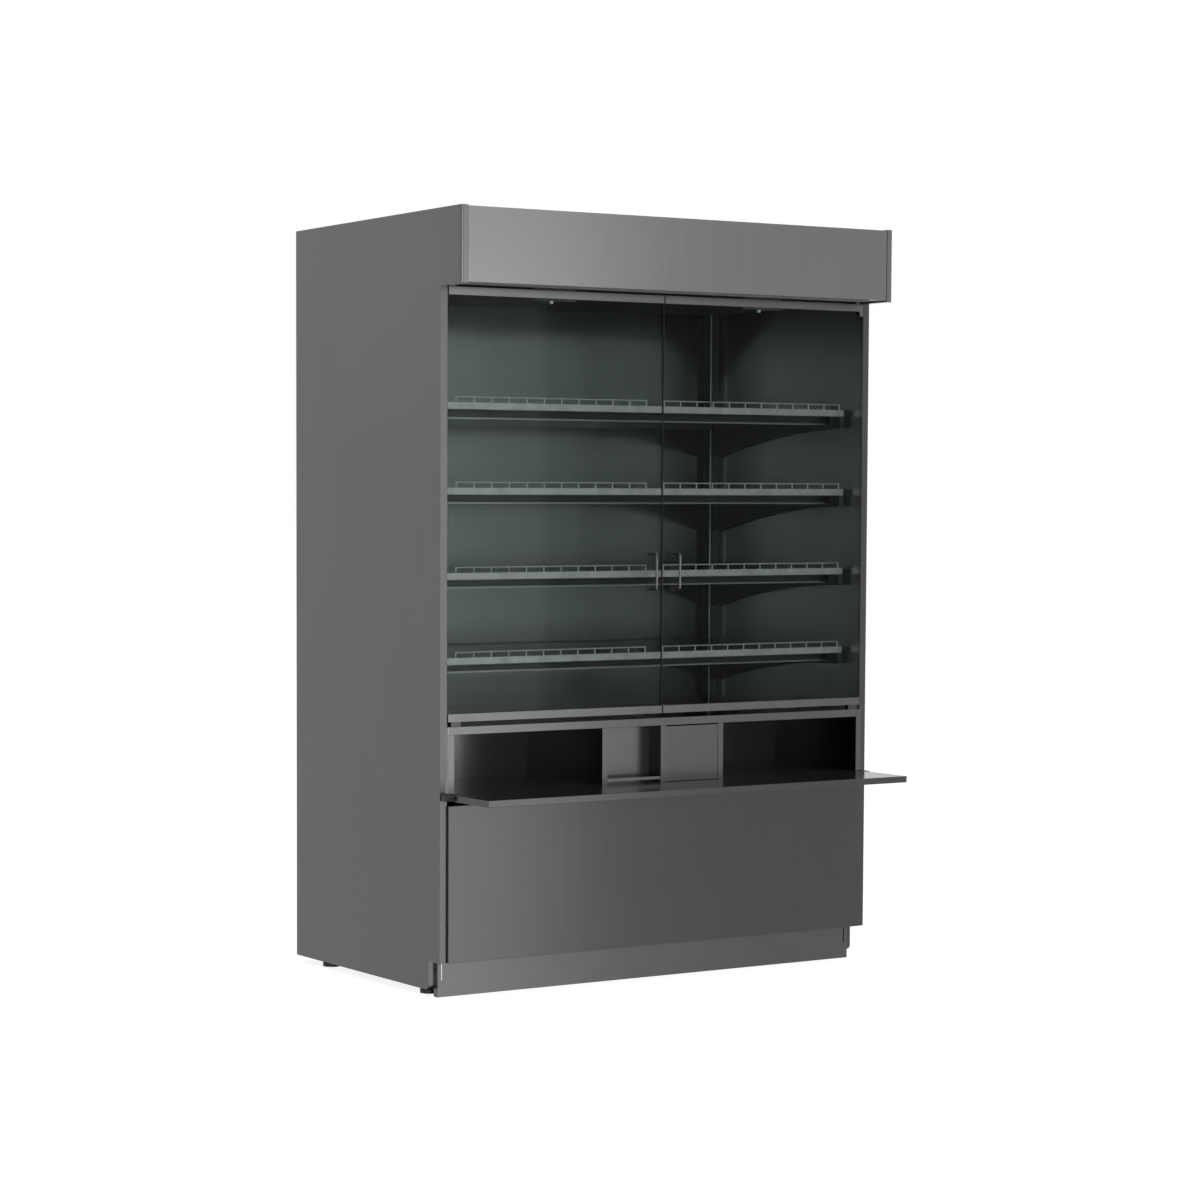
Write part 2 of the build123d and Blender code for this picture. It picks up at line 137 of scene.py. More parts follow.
class Graph:
    """The node tree of one material or of the world."""

    def __init__(self, owner):
        owner.use_nodes = True
        self.tree = owner.node_tree
        self.tree.nodes.clear()

    def node(self, kind, settings=None, inputs=None, output=0):
        made = self.tree.nodes.new(kind)
        for name, setting in (settings or {}).items():
            setattr(made, name, setting)
        for name, content in (inputs or {}).items():
            if isinstance(content, Value):
                self.tree.links.new(content.socket, made.inputs[name])
            else:
                made.inputs[name].default_value = content
        return Value(self, made.outputs[output])

    def part(self, vector, axis):
        return self.node("ShaderNodeSeparateXYZ", {}, {"Vector": vector}, output=axis)

    def spot(self, axis):
        """Where a point lies along one axis of the object, in metres."""
        return self.part(self.node("ShaderNodeTexCoord", output="Object"), axis)

    def facing(self, axis, toward):
        """1 on the faces that look that way along the axis of the object, and 0 on the others."""
        normal = self.node("ShaderNodeTexCoord", output="Normal")
        return (self.part(normal, axis) * toward).above(FACING_COSINE)

    def ray(self, kind):
        """1 for the rays of that kind, and 0 for the others."""
        return self.node("ShaderNodeLightPath", output=f"Is {kind} Ray")

    def noise(self, scale, detail, stretch=EVEN):
        """A cloudy texture, drawn out along an axis whose stretch is small."""
        place = self.node("ShaderNodeTexCoord", output="Object")
        stretched = self.node("ShaderNodeMapping", {}, {"Vector": place, "Scale": stretch})
        inputs = {"Vector": stretched, "Scale": scale, "Detail": detail}
        return self.node("ShaderNodeTexNoise", {"noise_dimensions": "3D"}, inputs)

    def spread(self, source, low, high):
        """Map the range between low and high to the range from 0 to 1."""
        inputs = {"Value": source, "From Min": low, "From Max": high}
        return self.node("ShaderNodeMapRange", {}, inputs)

    def blend(self, amount, first, second):
        """A colour between two colours."""
        inputs = dict(zip(MIX_INPUTS, (amount, first, second)))
        return self.node("ShaderNodeMix", {"data_type": "RGBA"}, inputs, output=MIX_RESULT)

    def tones(self, amount, level, contrast, tint=WHITE):
        """A grey that is darker than its level where the amount is 0 and lighter where it is 1."""
        darker = grey(level * (1.0 - contrast), tint)
        lighter = grey(level * (1.0 + contrast), tint)
        return self.blend(amount, darker, lighter)

    def bump(self, height, strength, distance):
        """A normal that is tilted by a height, as if that stood out by the distance in metres."""
        inputs = {"Height": height, "Strength": strength, "Distance": distance}
        return self.node("ShaderNodeBump", {}, inputs)

    def principled(self, **inputs):
        sockets = {name.replace("_", " "): content for name, content in inputs.items()}
        return self.node("ShaderNodeBsdfPrincipled", {}, sockets)

    def output(self, shader, kind="ShaderNodeOutputMaterial"):
        made = self.tree.nodes.new(kind)
        self.tree.links.new(shader.socket, made.inputs["Surface"])


print("node types come from one method of", Graph.__name__)

# %% [markdown]
# ## Lacquered board
# The sides, fronts and compartments are dark grey boards with a satin metallic lacquer. In the
# picture a board is bright only where it mirrors the bright room, and almost black where it faces
# another board, so most of its light is a blurred reflection. That is a metallic coat of low
# brightness. A fine orange peel breaks the mirror, faint upright streaks follow the spray passes,
# and a slow cloud keeps large faces from looking printed. A finish can name faces and give them a
# brightness of their own, which is painted light and shade: painted reflections and painted shade.

# %% The lacquer finish
PEEL_PER_METRE = 420.0
PEEL_STRENGTH = 0.05
PEEL_HEIGHT = 0.0003
CLOUD_PER_METRE = 2.2
CLOUD_RANGE = (0.3, 0.7)
CLOUD_ROUGHNESS = 0.03
STREAK_PER_METRE = 160.0
STREAK_STRETCH = (1.0, 1.0, 0.012)
STREAK_RANGE = (0.3, 0.7)
STREAK_ROUGHNESS = 0.02
CLOUD_WEIGHT = 0.5
STREAK_WEIGHT = 0.5
LACQUER_TINT = (1.0, 1.0, 1.01)
GREEN_TINT = (0.9, 1.0, 0.985)


def lacquer(name, level, roughness=0.2, metallic=0.85, tint=LACQUER_TINT, contrast=0.05, faces=()):
    """Satin metallic lacquer on a board, with painted light and shade on chosen faces."""
    material = bpy.data.materials.new(name)
    graph = Graph(material)
    cloud = graph.spread(graph.noise(CLOUD_PER_METRE, detail=4.0), *CLOUD_RANGE)
    passes = graph.noise(STREAK_PER_METRE, detail=2.0, stretch=STREAK_STRETCH)
    streaks = graph.spread(passes, *STREAK_RANGE)
    peel = graph.noise(PEEL_PER_METRE, detail=2.0)
    mottle = cloud * CLOUD_WEIGHT + streaks * STREAK_WEIGHT
    colour = graph.tones(mottle, level, contrast, tint)
    # painted light and shade: each chosen face gets a level of its own
    for chosen, shade in faces:
        colour = graph.blend(chosen(graph), colour, graph.tones(mottle, shade, contrast, tint))
    graph.output(graph.principled(
        Base_Color=colour,
        Metallic=metallic,
        Roughness=roughness + cloud.swing(CLOUD_ROUGHNESS) + streaks.swing(STREAK_ROUGHNESS),
        Normal=graph.bump(peel, PEEL_STRENGTH, PEEL_HEIGHT),
    ))
    return material


print("lacquer peel", PEEL_PER_METRE, "bumps a metre")

# %% [markdown]
# ## Powder coat
# Shelf strips, brackets, rails and the kick plate are folded sheet with a powder coat. Its grain is
# finer than the peel of the lacquer, but it stands out more, and the coat scatters more light.

# %% The powder coat finish
GRAIN_PER_METRE = 900.0
GRAIN_ROUGHNESS = 0.1
GRAIN_STRENGTH = 0.12
GRAIN_HEIGHT = 0.0002
WEAR_PER_METRE = 9.0
WEAR_RANGE = (0.35, 0.7)
WEAR_CONTRAST = 0.03
WEAR_ROUGHNESS = 0.04


def powder_coat(name, level, roughness=0.42, metallic=0.5, tint=WHITE, faces=()):
    """Fine-grained coat on sheet metal, with painted light and shade on chosen faces."""
    material = bpy.data.materials.new(name)
    graph = Graph(material)
    grain = graph.noise(GRAIN_PER_METRE, detail=3.0)
    wear = graph.spread(graph.noise(WEAR_PER_METRE, detail=5.0), *WEAR_RANGE)
    colour = graph.tones(wear, level, WEAR_CONTRAST, tint)
    # painted light and shade: each chosen face gets a level of its own
    for chosen, shade in faces:
        colour = graph.blend(chosen(graph), colour, grey(shade, tint))
    graph.output(graph.principled(
        Base_Color=colour,
        Metallic=metallic,
        Roughness=roughness + wear.swing(WEAR_ROUGHNESS) + grain.swing(GRAIN_ROUGHNESS),
        Normal=graph.bump(grain, GRAIN_STRENGTH, GRAIN_HEIGHT),
    ))
    return material


print("powder coat grain", GRAIN_PER_METRE, "bumps a metre")

# %% [markdown]
# ## Brushed metal
# The door handles are round steel bar, brushed along their length, and the door rails are anodised
# aluminium, drawn along theirs. The shelf fences, the pivots and the foot nuts have the same finish.
# A noise that is drawn out along the metal gives the fine lines.

# %% The brushed finish
LINES_PER_METRE = 1400.0
LINE_STRETCH = 0.01
LINE_CONTRAST = 0.15
LINE_ROUGHNESS = 0.12
LINE_STRENGTH = 0.1
LINE_HEIGHT = 0.0001
SMUDGE_PER_METRE = 14.0
SMUDGE_RANGE = (0.4, 0.7)
SMUDGE_ROUGHNESS = 0.05


def brushed(name, level, along, roughness=0.3):
    """Metal with fine lines along one axis."""
    material = bpy.data.materials.new(name)
    graph = Graph(material)
    stretch = tuple(LINE_STRETCH if axis == along else 1.0 for axis in "XYZ")
    lines = graph.noise(LINES_PER_METRE, detail=2.0, stretch=stretch)
    smudge = graph.spread(graph.noise(SMUDGE_PER_METRE, detail=4.0), *SMUDGE_RANGE)
    graph.output(graph.principled(
        Base_Color=graph.tones(lines, level, LINE_CONTRAST),
        Metallic=1.0,
        Roughness=roughness + lines.swing(LINE_ROUGHNESS) + smudge * SMUDGE_ROUGHNESS,
        Normal=graph.bump(lines, LINE_STRENGTH, LINE_HEIGHT),
    ))
    return material


print("brushing", LINES_PER_METRE, "lines a metre")

# %% [markdown]
# ## Moulded plastic
# The hinge knuckles, handle sleeves, feet and waste bin are black moulded plastic with a spark-eroded
# grain. The rubber seal takes the same finish, darker and rougher.

# %% The plastic finish
SPARK_PER_METRE = 1600.0
SPARK_ROUGHNESS = 0.2
SPARK_STRENGTH = 0.2
SPARK_HEIGHT = 0.0001
SCUFF_PER_METRE = 30.0
SCUFF_RANGE = (0.45, 0.7)
SCUFF_GAIN = 1.5


def moulded(name, level, roughness=0.5):
    """Black moulded plastic."""
    material = bpy.data.materials.new(name)
    graph = Graph(material)
    sparks = graph.noise(SPARK_PER_METRE, detail=2.0)
    scuff = graph.spread(graph.noise(SCUFF_PER_METRE, detail=4.0), *SCUFF_RANGE)
    graph.output(graph.principled(
        Base_Color=graph.blend(scuff, grey(level), grey(level * SCUFF_GAIN)),
        Roughness=roughness + sparks.swing(SPARK_ROUGHNESS),
        Normal=graph.bump(sparks, SPARK_STRENGTH, SPARK_HEIGHT),
    ))
    return material


print("plastic grain", SPARK_PER_METRE, "bumps a metre")

# %% [markdown]
# ## Glass
# Each door is one pane of clear float glass, slightly green in its body. Real refraction would stop
# the studio light at the pane, so the pane is a tinted see-through sheet mixed with a sharp
# reflection. The reflection's share grows with the fifth power of the slant, which is Schlick's law,
# and that is the same on a pane's front and back. The cut edges let half of the light through and
# have a dark gloss for the rest.

# %% The glass finish
HEAD_ON_SHARE = 0.045
CUT_SHARE = 0.5
CUT_TINT = (0.8, 1.0, 0.95)
PLAIN_SLANT = 0.5
GLASS_ROUGHNESS = 0.02
SMEAR_PER_METRE = 5.0
SMEAR_RANGE = (0.4, 0.75)
SMEAR_ROUGHNESS = 0.03


def pane_glass(name, tint, gloss, edge_level):
    """Clear flat glass with darker cut edges."""
    material = bpy.data.materials.new(name)
    graph = Graph(material)
    smear = graph.spread(graph.noise(SMEAR_PER_METRE, detail=5.0), *SMEAR_RANGE)
    slant = graph.node("ShaderNodeLayerWeight", {}, {"Blend": PLAIN_SLANT}, output="Facing")
    squared = slant * slant
    grazing = squared * squared * slant * (1.0 - HEAD_ON_SHARE) + HEAD_ON_SHARE
    flat = graph.facing("Y", -1.0).larger(graph.facing("Y", 1.0))
    mirror = graph.principled(
        Base_Color=grey(edge_level, CUT_TINT),
        Roughness=GLASS_ROUGHNESS + smear * SMEAR_ROUGHNESS,
        Coat_Weight=1.0,
    )
    clear = graph.node("ShaderNodeBsdfTransparent", {}, {"Color": tint})
    share = grazing * gloss * flat + (1.0 - flat) * CUT_SHARE
    graph.output(graph.node("ShaderNodeMixShader", {}, {0: share, 1: clear, 2: mirror}))
    return material


print("glass mirrors a share of", HEAD_ON_SHARE, "head on and", CUT_SHARE, "on its cut edges")

# %% [markdown]
# ## Faces with painted light and shade
# Masks pick out faces by the way they look and where they lie: the front edges of boards, the left
# end of the compartment row, the inner faces of the case's sides, and the lips and knobs. Their
# levels are painted light and shade: painted highlights on the lips, knobs, cheek fronts, the row's
# fronts and its proud left end, a painted reflection on the rear of the shelf rails and on the inner
# faces, and painted shade on the sides' front edges and the row's left faces. The underside of the
# canopy behind the doors is painted shade, almost black, and the sides of the top bay carry painted
# shade beyond the slanting edge of the canopy's shade. Three masks are slow fades: two of painted
# shade along the back of the display, and one of painted highlight up the sides.

# %% Find where the masks end
MASK_MARGIN = 0.002
KNOB_REACH = 0.008
RAIL_SKIN = 0.001
LIP_WIDTH = 0.004
CASE_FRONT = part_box("door_left_rails")[0][1] + MASK_MARGIN
CANOPY_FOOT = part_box("fascia_panel")[0][2] - MASK_MARGIN
KNOB_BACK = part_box("door_catches")[0][1] + KNOB_REACH
RAIL_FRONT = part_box("shelf_rail_1")[0][1] + RAIL_SKIN
LIP_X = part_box("upright_right")[0][0] + LIP_WIDTH
GLASS_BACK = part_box("door_left_glass")[1][1]
TOP_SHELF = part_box("shelf_1")[1][2]
ROW_END = -0.6
REAR_RAIL = 0.2
INNER_FACES = 0.715
SHADE_SLOPE = 0.786
SHADE_EDGE = 1.993
MIDDLE_SHADE_FADE = (-0.15, 0.28)
END_SHADE_FADE = (0.47, 0.6)
TOP_HIGHLIGHT_FADE = (1.4, 2.0)
print("case front at", round(CASE_FRONT, 4))


# %% Name the faces
def front_faces(graph):
    return graph.facing("Y", -1.0)


def faces_right(graph):
    return graph.facing("X", 1.0)


def faces_left(graph):
    return graph.facing("X", -1.0)


def near_middle(graph, reach):
    """What lies nearer than the reach to the middle of the case, on either side."""
    across = graph.spot("X")
    return (across * across).below(reach * reach)


# painted highlight: the front faces of the cheeks above the canopy's foot
def cheek_front_highlight(graph):
    return front_faces(graph) * graph.spot("Z").above(CANOPY_FOOT)


# painted highlight: this face is painted almost white
def proud_side_highlight(graph):
    """The outer side of the row's left end, where it stands proud of the case."""
    return faces_left(graph) * graph.spot("Y").below(CASE_FRONT) * graph.spot("X").below(ROW_END)


# painted highlight on the ends of the catch knobs
def knob_highlight(graph):
    return graph.spot("Y").below(KNOB_BACK)


# painted highlight: a thin light lip along the front of the rails
def front_lip_highlight(graph):
    return front_faces(graph) * graph.spot("Y").below(RAIL_FRONT)


# painted reflection: the rear part of the rails, lit like the back wall
def rear_rail_reflection(graph):
    return graph.spot("Y").above(REAR_RAIL)


# painted shade: the canopy's underside behind the doors
def shade_behind_doors(graph):
    return graph.spot("Y").above(GLASS_BACK)


def canopy_shade(graph):
    """The shaded upper rear of the top bay, beyond a slanting line."""
    slant = (graph.spot("Z") + graph.spot("Y") * SHADE_SLOPE).above(SHADE_EDGE)
    sideways = faces_right(graph).larger(faces_left(graph))
    return slant * sideways * near_middle(graph, INNER_FACES) * graph.spot("Z").above(TOP_SHELF)


# painted shade: the back of the display darkens from its middle to the right
def middle(graph):
    return graph.spread(graph.spot("X"), *MIDDLE_SHADE_FADE)


# painted shade: the right end of the display's back is painted darkest
def right_end_shade(graph):
    return graph.spread(graph.spot("X"), *END_SHADE_FADE)


# painted highlight: the sides are painted lighter towards their top
def painted_top_highlight(graph):
    return graph.spread(graph.spot("Z"), *TOP_HIGHLIGHT_FADE)


# painted highlight: a light line down the inner edge of the uprights' fronts
def upright_highlight(graph):
    return front_faces(graph) * near_middle(graph, LIP_X)


print("the fades start at", MIDDLE_SHADE_FADE[0], END_SHADE_FADE[0], TOP_HIGHLIGHT_FADE[0])

# %% [markdown]
# ## Dressing the nodes
# Every imported node keeps its mesh and takes one of the finishes by its name. A level is how bright
# the finish is, and a pair in `faces` gives the faces of a mask a level of their own, which is painted
# light and shade.

# %% Mix the finishes
finishes = {
    # Sides: painted highlights on top, cheek fronts and inner faces; painted shade on front edges.
    "side_left": lacquer(
        "side_left_lacquer", 0.108,
        faces=(
            (painted_top_highlight, 0.121), (front_faces, 0.076), (cheek_front_highlight, 0.12), (faces_right, 0.2),
            (canopy_shade, 0.02),
        ),
    ),
    "side_right": lacquer(
        "side_right_lacquer", 0.108,
        faces=(
            (painted_top_highlight, 0.121), (front_faces, 0.072), (cheek_front_highlight, 0.15), (faces_left, 0.2),
            (canopy_shade, 0.02),
        ),
    ),
    # Painted light: the fascia's lacquer is the lower fronts', painted lighter as if lit from above.
    "fascia": lacquer("fascia_lit_lacquer", 0.162),
    "front": lacquer("front_lacquer", 0.069),
    # Row: painted highlights on the fronts and the proud left end, painted shade on other left faces.
    "row": lacquer(
        "row_lacquer", 0.07, metallic=0.95,
        faces=((front_faces, 0.105), (faces_left, 0.012), (proud_side_highlight, 0.85)),
    ),
    "bay": lacquer("bay_lacquer", 0.095),
    "niche": lacquer("niche_lacquer", 0.112, roughness=0.22),
    "flap": lacquer("flap_lacquer", 0.098),
    # Painted reflection and shade: the back of the display darkens from left to right.
    "lining": lacquer(
        "lining_lacquer", 0.138, roughness=0.14, tint=GREEN_TINT, contrast=0.02,
        faces=((middle, 0.098), (right_end_shade, 0.028)),
    ),
    # Painted shade: the canopy's underside is almost black behind the doors.
    "soffit": powder_coat(
        "soffit_coat", 0.3, roughness=0.85, metallic=0.2, faces=((shade_behind_doors, 0.003),),
    ),
    "shelf": lacquer("shelf_lacquer", 0.10, tint=GREEN_TINT),
    "kick": powder_coat("kick_coat", 0.096, roughness=0.25, metallic=0.85),
    "strip": powder_coat("strip_coat", 0.235, roughness=0.28, metallic=0.45),
    "bar": powder_coat("bar_coat", 0.14, roughness=0.25, metallic=0.8),
    "frame": powder_coat("frame_coat", 0.025, roughness=0.35, tint=GREEN_TINT),
    # Painted highlight: a light line down the uprights' fronts.
    "upright": powder_coat(
        "upright_coat", 0.025, roughness=0.35, tint=GREEN_TINT, faces=((upright_highlight, 0.6),),
    ),
    # Painted shade: rails almost black under the shelves, with painted light on lip and rear.
    "shelf_rail": powder_coat(
        "shelf_rail_coat", 0.008, roughness=0.2, metallic=0.8, tint=GREEN_TINT,
        faces=((rear_rail_reflection, 0.12), (front_lip_highlight, 0.12)),
    ),
    # Painted highlight on the knob ends.
    "catch": powder_coat("catch_coat", 0.05, tint=GREEN_TINT, faces=((knob_highlight, 0.55),)),
    "wire": brushed("wire_metal", 0.3, "X"),
    "rail": brushed("rail_metal", 0.11, "X", roughness=0.22),
    "pivot": brushed("pivot_metal", 0.06, "Z"),
    "handle": brushed("handle_metal", 0.09, "Z", roughness=0.25),
    "black": moulded("black_plastic", 0.006),
    "seal": moulded("seal_rubber", 0.002, roughness=0.85),
    "glass": pane_glass("pane_glass", (0.892, 0.925, 0.92, 1.0), 0.8, 0.004),
}
print("mixed", len(finishes), "finishes")

# %% Give each node its finish
FINISH_OF = {
    "side_panel_left": "side_left",
    "side_panel_right": "side_right",
    "roof_panel": "front",
    "outer_back": "front",
    "soffit_panel": "soffit",
    "fascia_panel": "fascia",
    "base_panel": "front",
    "lower_front_panel": "front",
    "display_back": "lining",
    "display_deck": "row",
    "compartment": "bay",
    "liner": "row",
    "divider": "row",
    "niche_back": "niche",
    "niche_bar": "bar",
    "waste_flap": "flap",
    "waste_bin": "black",
    "ledge_knuckles": "black",
    "ledge": "front",
    "kick_plate": "kick",
    "levelling_feet": "black",
    "door_pivots": "pivot",
    "door_catches": "catch",
    "upright": "upright",
    "bracket": "frame",
    "shelf_rail": "shelf_rail",
    "shelf": "shelf",
    "price_strip": "strip",
    "wire_fence": "wire",
}
DOOR_FINISH = {"glass": "glass", "rails": "rail", "handle": "handle"}


def finish_of(name):
    """The finish of a node: by its last word on a door, or by the longest start that its name has."""
    last = name.rsplit("_", 1)[-1]
    if last in DOOR_FINISH:
        return DOOR_FINISH[last]
    words = [word for word in FINISH_OF if name.startswith(word)]
    return FINISH_OF[max(words, key=len)]


for name, node in nodes.items():
    node.data.materials.clear()
    node.data.materials.append(finishes[finish_of(name)])
print("dressed", len(nodes), "nodes")

# %% [markdown]
# ## Added fittings
# The small fittings are meshes of their own. Each is a stack of loops of points, joined by bands of
# faces. It gets one finish, and it rides on a body, so that it moves with its door.

# %% Join loops and add a piece
SHARP_ANGLE = math.radians(35.0)


def band(form, lower, upper):
    """A band of faces between two loops with the same number of points."""
    for step in range(len(lower)):
        after = (step + 1) % len(lower)
        form.faces.new((lower[step], lower[after], upper[after], upper[step]))


def add_piece(name, form, body, finish, smooth):
    """Make an object of a form, with one finish, that rides on a body."""
    bmesh.ops.recalc_face_normals(form, faces=form.faces)
    mesh = bpy.data.meshes.new(name)
    form.to_mesh(mesh)
    form.free()
    if smooth:
        for face in mesh.polygons:
            face.use_smooth = True
        mesh.set_sharp_from_angle(angle=SHARP_ANGLE)
    mesh.materials.append(finishes[finish])
    piece = bpy.data.objects.new(name, mesh)
    bpy.context.collection.objects.link(piece)
    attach(piece, body)


print("edges stay sharp above", round(math.degrees(SHARP_ANGLE)), "degrees")

# %% [markdown]
# ## Turned pieces
# Sleeves, caps and nuts are all turned on a lathe: rings of points at given radii and heights. A ring
# may be bent to a hexagon, which gives nuts their flats. The lathe makes the rings along Z and then
# lays them along an axis of the case.

# %% A small lathe
RING_STEPS = 36
ROUND = 0
HEXAGON = 6


def ring_radius(radius, angle, corners):
    """The radius of a ring at an angle, round or pushed out to the flats of a polygon."""
    if corners == ROUND:
        return radius
    sector = 2.0 * math.pi / corners
    return radius / math.cos(angle % sector - sector / 2.0)


def turned(name, rings, axis, place, body, finish):
    """A lathe-turned piece. Each ring is (radius, height, corners) along the axis from its place."""
    form = bmesh.new()
    angles = [2.0 * math.pi * step / RING_STEPS for step in range(RING_STEPS)]
    loops = []
    for radius, height, corners in rings:
        sizes = [ring_radius(radius, angle, corners) for angle in angles]
        loops.append([
            form.verts.new((size * math.cos(angle), size * math.sin(angle), height))
            for size, angle in zip(sizes, angles)
        ])
    for lower, upper in zip(loops[:-1], loops[1:]):
        band(form, lower, upper)
    turn = Vector((0.0, 0.0, 1.0)).rotation_difference(Vector(axis)).to_matrix().to_4x4()
    bmesh.ops.transform(form, matrix=Matrix.Translation(place) @ turn, verts=form.verts)
    add_piece(name, form, body, finish, smooth=True)


print("rings of", RING_STEPS, "points")

# %% [markdown]
# ## Handle sleeves
# Each bow handle stands on the glass with two black sleeves over its legs. The sleeve has a narrow
# collar against the glass, a plain barrel and a bevelled end below the bar.

# %% Put the sleeves on the handle legs
SLEEVE_RADIUS = 0.0042
SLEEVE_BORE = 0.0034
SLEEVE_BEVEL = 0.0008
SLEEVE_SINK = 0.0002
COLLAR_RADIUS = 0.0056
COLLAR_LENGTH = 0.0022
COLLAR_SLOPE = 0.0006
LEG_MARGIN = 0.0009
BAR_RADIUS = 0.0035

for word in ("left", "right"):
    low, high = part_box(f"door_{word}_handle")
    glass_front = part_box(f"door_{word}_glass")[0][1]
    middle_x = (low[0] + high[0]) / 2
    leg_heights = (low[2] + COLLAR_RADIUS + LEG_MARGIN, high[2] - COLLAR_RADIUS - LEG_MARGIN)
    barrel_length = glass_front - low[1] - 2 * BAR_RADIUS
    sleeve_rings = (
        (SLEEVE_BORE, 0.0, ROUND),
        (COLLAR_RADIUS, 0.0, ROUND),
        (COLLAR_RADIUS, COLLAR_LENGTH, ROUND),
        (SLEEVE_RADIUS, COLLAR_LENGTH + COLLAR_SLOPE, ROUND),
        (SLEEVE_RADIUS, barrel_length - SLEEVE_BEVEL, ROUND),
        (SLEEVE_BORE, barrel_length, ROUND),
    )
    for number, height in enumerate(leg_heights, start=1):
        turned(
            f"handle_sleeve_{word}_{number}",
            sleeve_rings,
            (0.0, -1.0, 0.0),
            (middle_x, glass_front - SLEEVE_SINK, height),
            f"{word}_door",
            "black",
        )
print("sleeves", round(barrel_length, 4), "m long")

# %% [markdown]
# ## Seal on the meeting edge
# Where the two doors meet, the right pane wears a thin black seal on its cut edge, so the meeting
# line is black. The seal is a drawn strip with bevelled corners, glued to the glass.

# %% Draw the seal
SEAL_NOSE = 0.0024
SEAL_SKIN = 0.00002
SEAL_BEVEL = 0.0008


def drawn(name, outline, heights, body, finish):
    """A section drawn straight up between two heights, with closed ends."""
    form = bmesh.new()
    lower, upper = ([form.verts.new((x, y, height)) for x, y in outline] for height in heights)
    band(form, lower, upper)
    form.faces.new(lower)
    form.faces.new(upper)
    add_piece(name, form, body, finish, smooth=False)


low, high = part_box("door_right_glass")
cut, front, back = low[0], low[1], high[1]
nose = cut - SEAL_NOSE
outline = (
    (cut - SEAL_SKIN, front),
    (nose + SEAL_BEVEL, front),
    (nose, front + SEAL_BEVEL),
    (nose, back - SEAL_BEVEL),
    (nose + SEAL_BEVEL, back),
    (cut - SEAL_SKIN, back),
)
drawn("door_seal", outline, (low[2], high[2]), "right_door", "seal")
print("seal", round(high[2] - low[2], 3), "m long")

# %% [markdown]
# ## Knuckle caps
# The ledge turns on pins whose outer ends are closed by small domed caps. The profile of a cap gives
# shares of its radius and of its height.

# %% Cap the hinge pins
CAP_RADIUS = 0.0055
CAP_DOME = 0.0018
CAP_PROFILE = ((1.0, 0.0), (1.0, 0.45), (0.82, 0.8), (0.45, 0.97), (0.02, 1.0))
PIN_DEPTH = 0.009

low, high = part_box("ledge_knuckles")
pin_place = (low[1] + PIN_DEPTH, (low[2] + high[2]) / 2)
cap_rings = [(CAP_RADIUS * width, CAP_DOME * height, ROUND) for width, height in CAP_PROFILE]
for word, side in (("left", -1.0), ("right", 1.0)):
    turned(
        f"knuckle_cap_{word}",
        cap_rings,
        (side, 0.0, 0.0),
        (side * high[0], *pin_place),
        "cabinet",
        "black",
    )
print("caps at a height of", round(pin_place[1], 4))

# %% [markdown]
# ## Foot nuts
# Each levelling foot is locked by a hexagon nut under the base panel. The corners of a nut are turned
# down at both ends.

# %% Lock the feet
FOOT_RADIUS = 0.025
SHAFT_RADIUS = 0.0152
NUT_FLATS = 0.0185
NUT_HEIGHT = 0.012
NUT_CHAMFER = 0.0012
NUT_END = 0.96 * NUT_FLATS
NUT_DROP = 0.010

low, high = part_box("levelling_feet")
nut_foot = high[2] - NUT_DROP - NUT_HEIGHT
nut_rings = (
    (SHAFT_RADIUS, 0.0, ROUND),
    (NUT_END, 0.0, ROUND),
    (NUT_FLATS, NUT_CHAMFER, HEXAGON),
    (NUT_FLATS, NUT_HEIGHT - NUT_CHAMFER, HEXAGON),
    (NUT_END, NUT_HEIGHT, ROUND),
    (SHAFT_RADIUS, NUT_HEIGHT, ROUND),
)
for word, x in (("left", low[0] + FOOT_RADIUS), ("right", high[0] - FOOT_RADIUS)):
    for place, y in (("front", low[1] + FOOT_RADIUS), ("back", high[1] - FOOT_RADIUS)):
        turned(
            f"foot_nut_{place}_{word}",
            nut_rings,
            (0.0, 0.0, 1.0),
            (x, y, nut_foot),
            "cabinet",
            "pivot",
        )
print("nuts from a height of", round(nut_foot, 4))

# %% [markdown]
# ## Studio
# The room is white to the camera, in reflections and through the glass, and dimmer as a light. To the
# camera and through the glass the floor is a matt paint with a glow of its own, so it is pale and
# still takes the shadow of the case. To a reflection it is polished: fronts low on the case see the
# room mirrored in it, so a side is as bright at its foot as at its top.

# %% Floor
FLOOR_HALF = 14.0
FLOOR_SQUARES = 8
FLOOR_PAINT = 0.35
FLOOR_GLOW = 0.87
FLOOR_POLISH = 0.97
POLISH_ROUGHNESS = 0.12

floor_mesh = bpy.data.meshes.new("floor")
floor_form = bmesh.new()
bmesh.ops.create_grid(floor_form, x_segments=FLOOR_SQUARES, y_segments=FLOOR_SQUARES, size=FLOOR_HALF)
floor_form.to_mesh(floor_mesh)
floor_form.free()
floor = bpy.data.objects.new("floor", floor_mesh)
bpy.context.collection.objects.link(floor)
floor_material = bpy.data.materials.new("floor_paint")
floor_graph = Graph(floor_material)
matt = floor_graph.node("ShaderNodeBsdfDiffuse", {}, {"Color": grey(FLOOR_PAINT)})
glow_strength = floor_graph.ray("Camera").larger(floor_graph.ray("Transmission")) * FLOOR_GLOW
glow = floor_graph.node("ShaderNodeEmission", {}, {"Color": grey(1.0), "Strength": glow_strength})
paint = floor_graph.node("ShaderNodeAddShader", {}, {0: matt, 1: glow})
gloss = {"Color": grey(FLOOR_POLISH), "Roughness": POLISH_ROUGHNESS}
polish = floor_graph.node("ShaderNodeBsdfGlossy", {}, gloss)
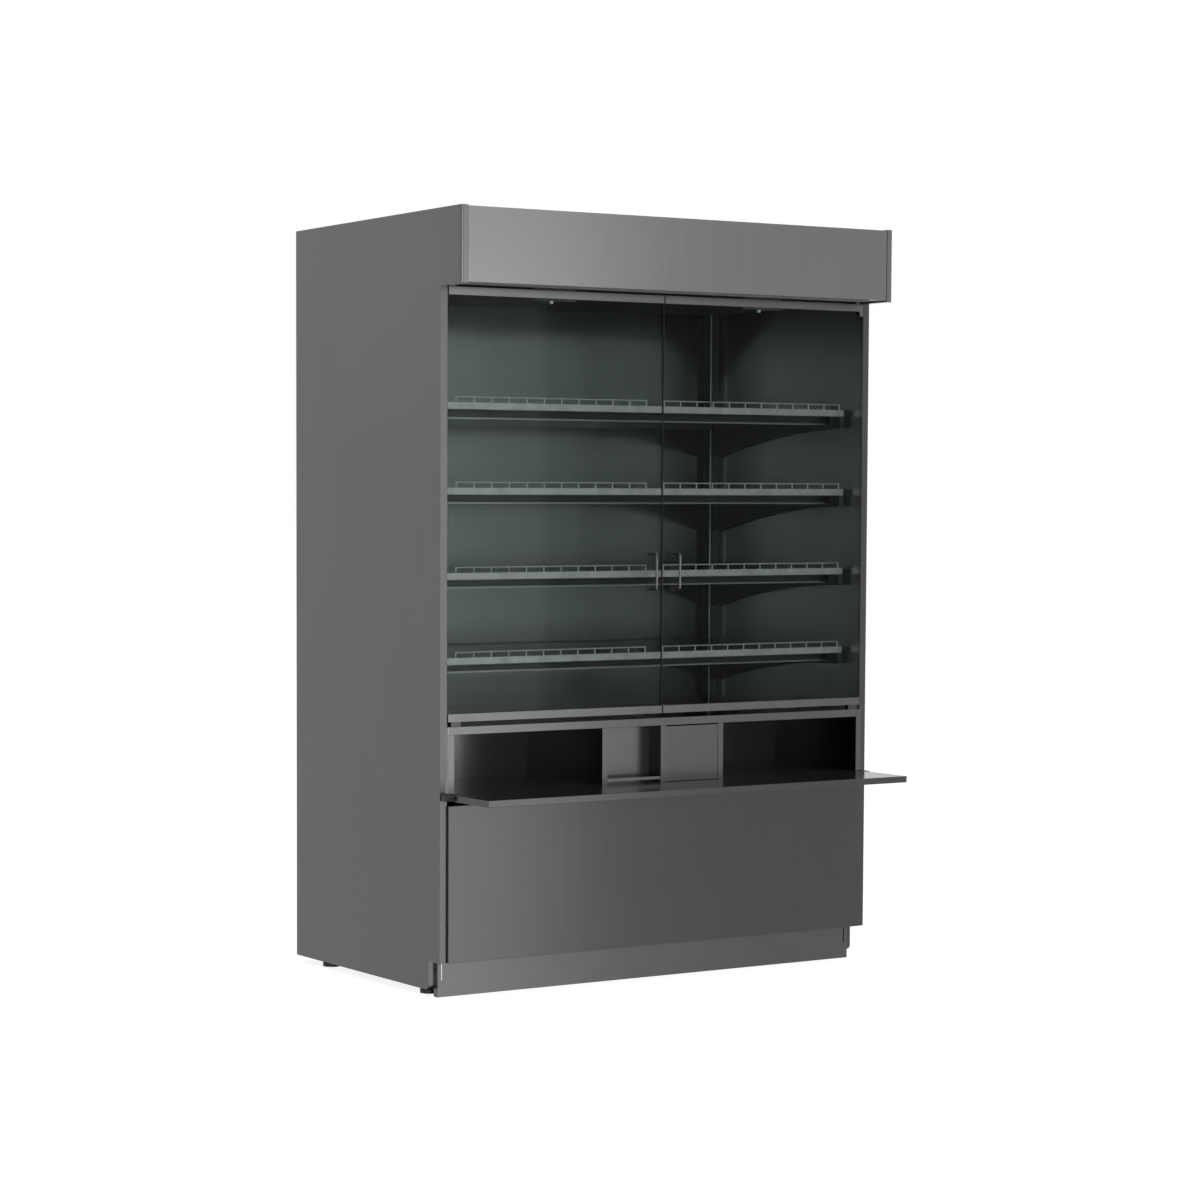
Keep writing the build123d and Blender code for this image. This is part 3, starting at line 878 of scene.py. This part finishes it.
layers = {0: floor_graph.ray("Glossy"), 1: paint, 2: polish}
floor_graph.output(floor_graph.node("ShaderNodeMixShader", {}, layers))
floor_mesh.materials.append(floor_material)
print("floor", 2 * FLOOR_HALF, "m wide")

# %% Room light
ROOM_LIGHT = 0.55

world = bpy.data.worlds.new("room")
bpy.context.scene.world = world
room = Graph(world)
seen = room.ray("Camera").larger(room.ray("Glossy")).larger(room.ray("Transmission"))
strength = ROOM_LIGHT + seen * (1.0 - ROOM_LIGHT)
background = room.node("ShaderNodeBackground", {}, {"Color": grey(1.0), "Strength": strength})
room.output(background, "ShaderNodeOutputWorld")
print("room light", ROOM_LIGHT)

# %% [markdown]
# Four soft boxes give the case its shape. The wide one to the right front is what the left ends of
# the lower fronts mirror, so these fade from left to right, and a weaker one above it does the same
# for the fascia. The one to the left front lights the display by way of its back wall and right wall.
# The last hangs overhead and lays the floor shadow.

# %% Lamps
LAMP_RADIANCE = 0.25


def soft_box(name, place, aim, size, radiance):
    """A rectangular area lamp that faces a point and shines with a given brightness."""
    lamp = bpy.data.lights.new(name, "AREA")
    lamp.shape = "RECTANGLE"
    lamp.size, lamp.size_y = size
    lamp.energy = radiance * size[0] * size[1] / LAMP_RADIANCE
    holder = bpy.data.objects.new(name, lamp)
    holder.location = place
    holder.rotation_euler = (Vector(aim) - Vector(place)).to_track_quat("-Z", "Y").to_euler()
    holder.visible_camera = False
    bpy.context.collection.objects.link(holder)
    print(name, round(lamp.energy), "W")


soft_box("right_box", place=(1.6, -5.5, 1.15), aim=(1.6, 0.0, 1.15), size=(3.0, 2.3), radiance=1.5)
soft_box("high_box", place=(1.7, -5.5, 2.75), aim=(1.7, 0.0, 2.75), size=(3.2, 0.9), radiance=0.8)
soft_box("left_box", place=(-3.4, -5.5, 1.4), aim=(-0.4, 0.0, 1.4), size=(2.4, 2.6), radiance=3.0)
soft_box("top_box", place=(0.0, -1.0, 5.0), aim=(0.0, 0.0, 0.0), size=(4.0, 4.0), radiance=1.0)
